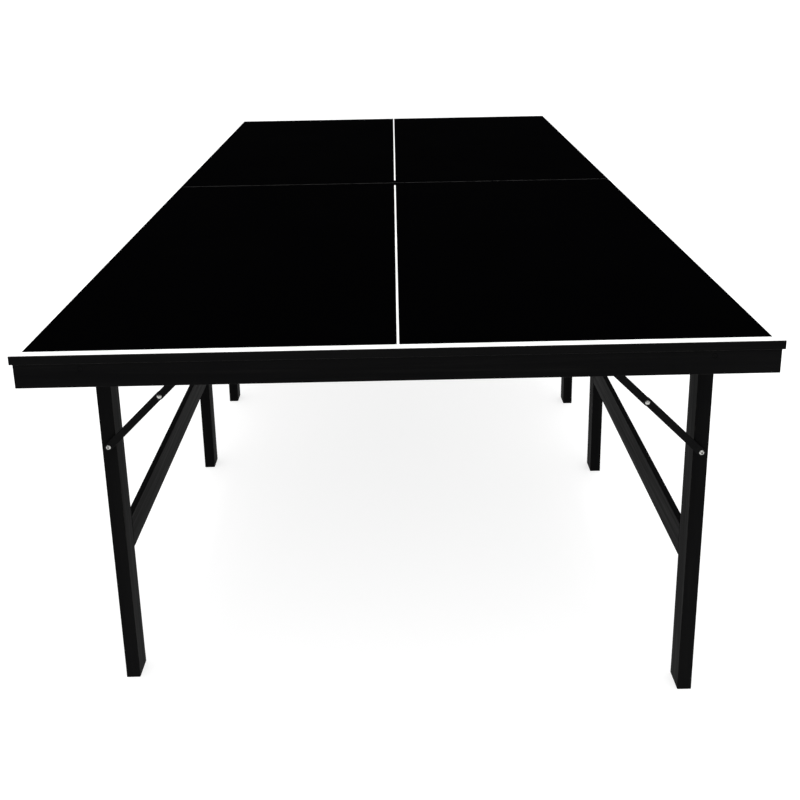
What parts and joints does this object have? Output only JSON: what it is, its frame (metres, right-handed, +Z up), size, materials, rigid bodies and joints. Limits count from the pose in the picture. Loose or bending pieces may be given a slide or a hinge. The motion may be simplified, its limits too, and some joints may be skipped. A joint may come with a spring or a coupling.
{
  "type": "table tennis table",
  "caption": "Folding table tennis table in two halves: black board with white lines on a wooden apron, side leg frames that fold inwards, and two-bar steel braces.",
  "frame": {"origin": "on the floor, under the centre of the table, where the two halves meet", "axes": "+Z up; +Y along the table from the near half to the far half; +X to the right seen from the near end"},
  "size_m": [1.22, 2.2, 0.76],
  "materials": {
    "black_board": "matte lacquer",
    "white_line": "matte paint",
    "black_wood": "satin paint",
    "raw_wood": "bare",
    "black_steel": "satin",
    "zinc": "satin"
  },
  "bodies": {
    "near_half": {"near_board": "black_board", "near_court_lines": "white_line", "near_end_rail": "black_wood", "near_join_rail": "black_wood", "near_left_rail": "black_wood", "near_right_rail": "black_wood", "near_hinge_blocks": "black_wood", "near_screws": "black_steel", "near_pivot_bolts": "zinc", "near_brace_brackets": "black_steel", "near_bracket_rivets": "zinc"},
    "near_left_frame": {"near_left_outer_leg": "black_wood", "near_left_inner_leg": "black_wood", "near_left_stretcher": "black_wood", "near_left_dowels": "raw_wood", "near_left_brace_bolt": "zinc"},
    "near_left_lower_bar": {"near_left_lower_bar": "black_steel", "near_left_knuckle_tail": "zinc"},
    "near_left_upper_bar": {"near_left_upper_bar": "black_steel", "near_left_knuckle_rivet": "zinc"},
    "near_right_frame": {"near_right_outer_leg": "black_wood", "near_right_inner_leg": "black_wood", "near_right_stretcher": "black_wood", "near_right_dowels": "raw_wood", "near_right_brace_bolt": "zinc"},
    "near_right_lower_bar": {"near_right_lower_bar": "black_steel", "near_right_knuckle_tail": "zinc"},
    "near_right_upper_bar": {"near_right_upper_bar": "black_steel", "near_right_knuckle_rivet": "zinc"},
    "far_half": {"far_board": "black_board", "far_court_lines": "white_line", "far_end_rail": "black_wood", "far_join_rail": "black_wood", "far_left_rail": "black_wood", "far_right_rail": "black_wood", "far_hinge_blocks": "black_wood", "far_screws": "black_steel", "far_pivot_bolts": "zinc", "far_brace_brackets": "black_steel", "far_bracket_rivets": "zinc"},
    "far_left_frame": {"far_left_outer_leg": "black_wood", "far_left_inner_leg": "black_wood", "far_left_stretcher": "black_wood", "far_left_dowels": "raw_wood", "far_left_brace_bolt": "zinc"},
    "far_left_lower_bar": {"far_left_lower_bar": "black_steel", "far_left_knuckle_tail": "zinc"},
    "far_left_upper_bar": {"far_left_upper_bar": "black_steel", "far_left_knuckle_rivet": "zinc"},
    "far_right_frame": {"far_right_outer_leg": "black_wood", "far_right_inner_leg": "black_wood", "far_right_stretcher": "black_wood", "far_right_dowels": "raw_wood", "far_right_brace_bolt": "zinc"},
    "far_right_lower_bar": {"far_right_lower_bar": "black_steel", "far_right_knuckle_tail": "zinc"},
    "far_right_upper_bar": {"far_right_upper_bar": "black_steel", "far_right_knuckle_rivet": "zinc"}
  },
  "joints": [
    {"name": "near_left_fold", "type": "hinge", "parent": "near_half", "child": "near_left_frame", "pos_m": [-0.5295, -0.927, 0.731], "axis": [0, -1, 0], "range_deg": [0, 86]},
    {"name": "near_left_lower_brace", "type": "hinge", "parent": "near_left_frame", "child": "near_left_lower_bar", "pos_m": [-0.5295, -0.927, 0.502], "axis": [0, -1, 0], "range_deg": [0, 177.6]},
    {"name": "near_left_upper_brace", "type": "hinge", "parent": "near_half", "child": "near_left_upper_bar", "pos_m": [-0.31878, -0.927, 0.71272], "axis": [0, -1, 0], "range_deg": [0, 89.3]},
    {"name": "near_right_fold", "type": "hinge", "parent": "near_half", "child": "near_right_frame", "pos_m": [0.5295, -0.987, 0.731], "axis": [0, 1, 0], "range_deg": [0, 90]},
    {"name": "near_right_lower_brace", "type": "hinge", "parent": "near_right_frame", "child": "near_right_lower_bar", "pos_m": [0.5295, -0.987, 0.502], "axis": [0, 1, 0], "range_deg": [0, 198.1]},
    {"name": "near_right_upper_brace", "type": "hinge", "parent": "near_half", "child": "near_right_upper_bar", "pos_m": [0.31878, -0.987, 0.71272], "axis": [0, 1, 0], "range_deg": [0, 117.3]},
    {"name": "far_left_fold", "type": "hinge", "parent": "far_half", "child": "far_left_frame", "pos_m": [-0.5295, 0.987, 0.731], "axis": [0, -1, 0], "range_deg": [0, 90]},
    {"name": "far_left_lower_brace", "type": "hinge", "parent": "far_left_frame", "child": "far_left_lower_bar", "pos_m": [-0.5295, 0.987, 0.502], "axis": [0, -1, 0], "range_deg": [0, 198.1]},
    {"name": "far_left_upper_brace", "type": "hinge", "parent": "far_half", "child": "far_left_upper_bar", "pos_m": [-0.31878, 0.987, 0.71272], "axis": [0, -1, 0], "range_deg": [0, 117.3]},
    {"name": "far_right_fold", "type": "hinge", "parent": "far_half", "child": "far_right_frame", "pos_m": [0.5295, 0.927, 0.731], "axis": [0, 1, 0], "range_deg": [0, 86]},
    {"name": "far_right_lower_brace", "type": "hinge", "parent": "far_right_frame", "child": "far_right_lower_bar", "pos_m": [0.5295, 0.927, 0.502], "axis": [0, 1, 0], "range_deg": [0, 177.6]},
    {"name": "far_right_upper_brace", "type": "hinge", "parent": "far_half", "child": "far_right_upper_bar", "pos_m": [0.31878, 0.927, 0.71272], "axis": [0, 1, 0], "range_deg": [0, 89.3]},
    {"name": "halves_apart", "type": "slide", "parent": "near_half", "child": "far_half", "axis": [0, 1, 0], "range_m": [0, 0.6]}
  ],
  "couplings": [
    {"joint": "near_left_lower_brace", "follows": "near_left_fold", "ratio": 2.0644},
    {"joint": "near_left_upper_brace", "follows": "near_left_fold", "ratio": 1.0377},
    {"joint": "near_right_lower_brace", "follows": "near_right_fold", "ratio": 2.201},
    {"joint": "near_right_upper_brace", "follows": "near_right_fold", "ratio": 1.303},
    {"joint": "far_left_lower_brace", "follows": "far_left_fold", "ratio": 2.201},
    {"joint": "far_left_upper_brace", "follows": "far_left_fold", "ratio": 1.303},
    {"joint": "far_right_lower_brace", "follows": "far_right_fold", "ratio": 2.0644},
    {"joint": "far_right_upper_brace", "follows": "far_right_fold", "ratio": 1.0377}
  ]
}
